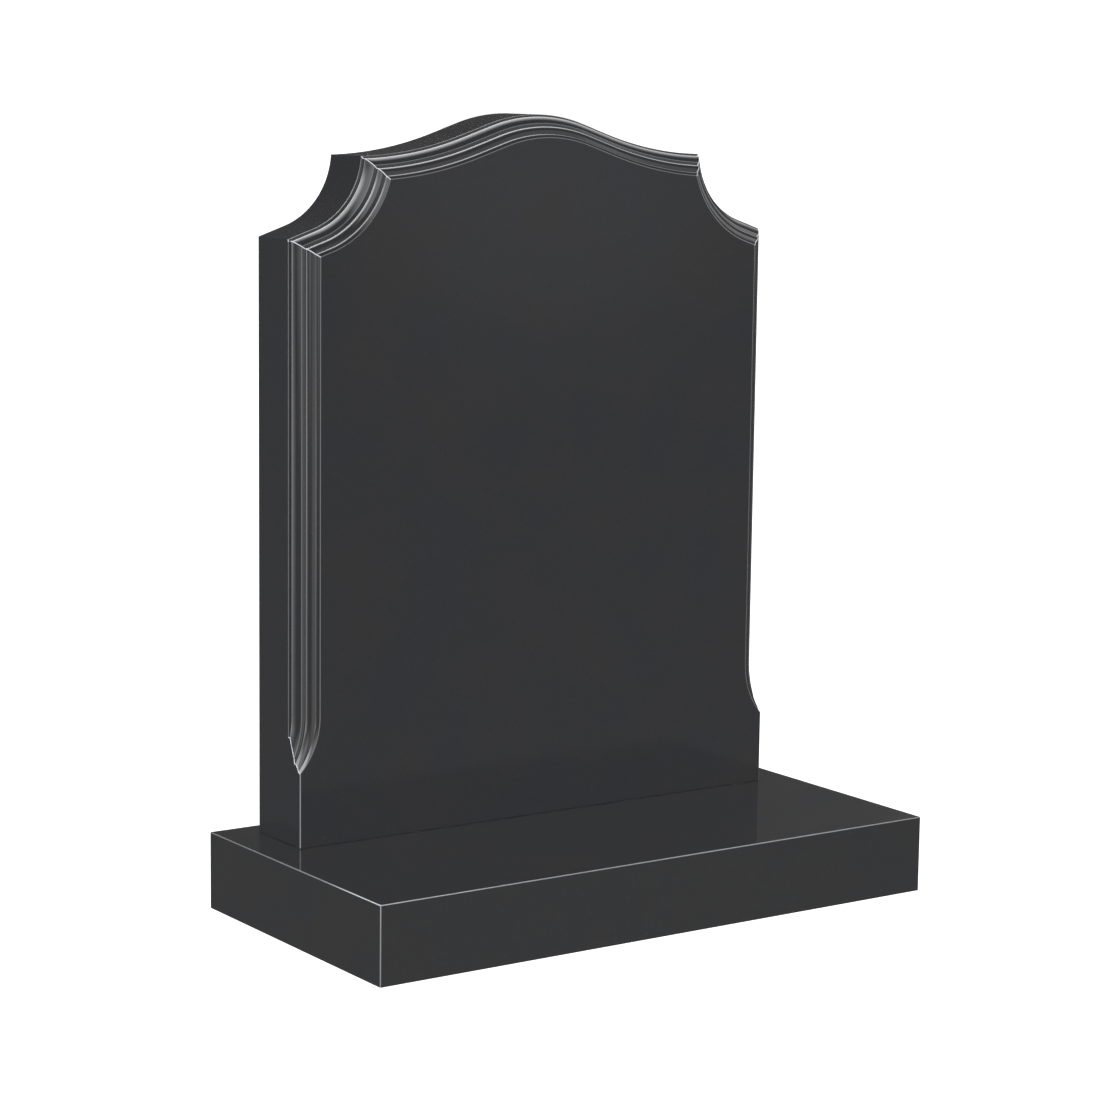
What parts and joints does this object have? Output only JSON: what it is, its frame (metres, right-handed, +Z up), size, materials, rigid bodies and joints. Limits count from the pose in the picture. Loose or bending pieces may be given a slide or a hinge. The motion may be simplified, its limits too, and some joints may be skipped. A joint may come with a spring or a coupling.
{
  "type": "headstone",
  "caption": "Upright headstone tablet with an ogee crown, scotia shoulders and a stopped edge moulding, on a plain rectangular base slab.",
  "frame": {"origin": "on the ground, under the middle of the base slab", "axes": "+X to the viewer's right along the base, +Y from the inscription side to the back, +Z up"},
  "size_m": [0.61, 0.305, 0.7393],
  "materials": {
    "tablet": "polished dark grey granite",
    "base_slab": "polished dark grey granite"
  },
  "bodies": {
    "root": {"tablet": "tablet", "base_slab": "base_slab"}
  },
  "joints": []
}
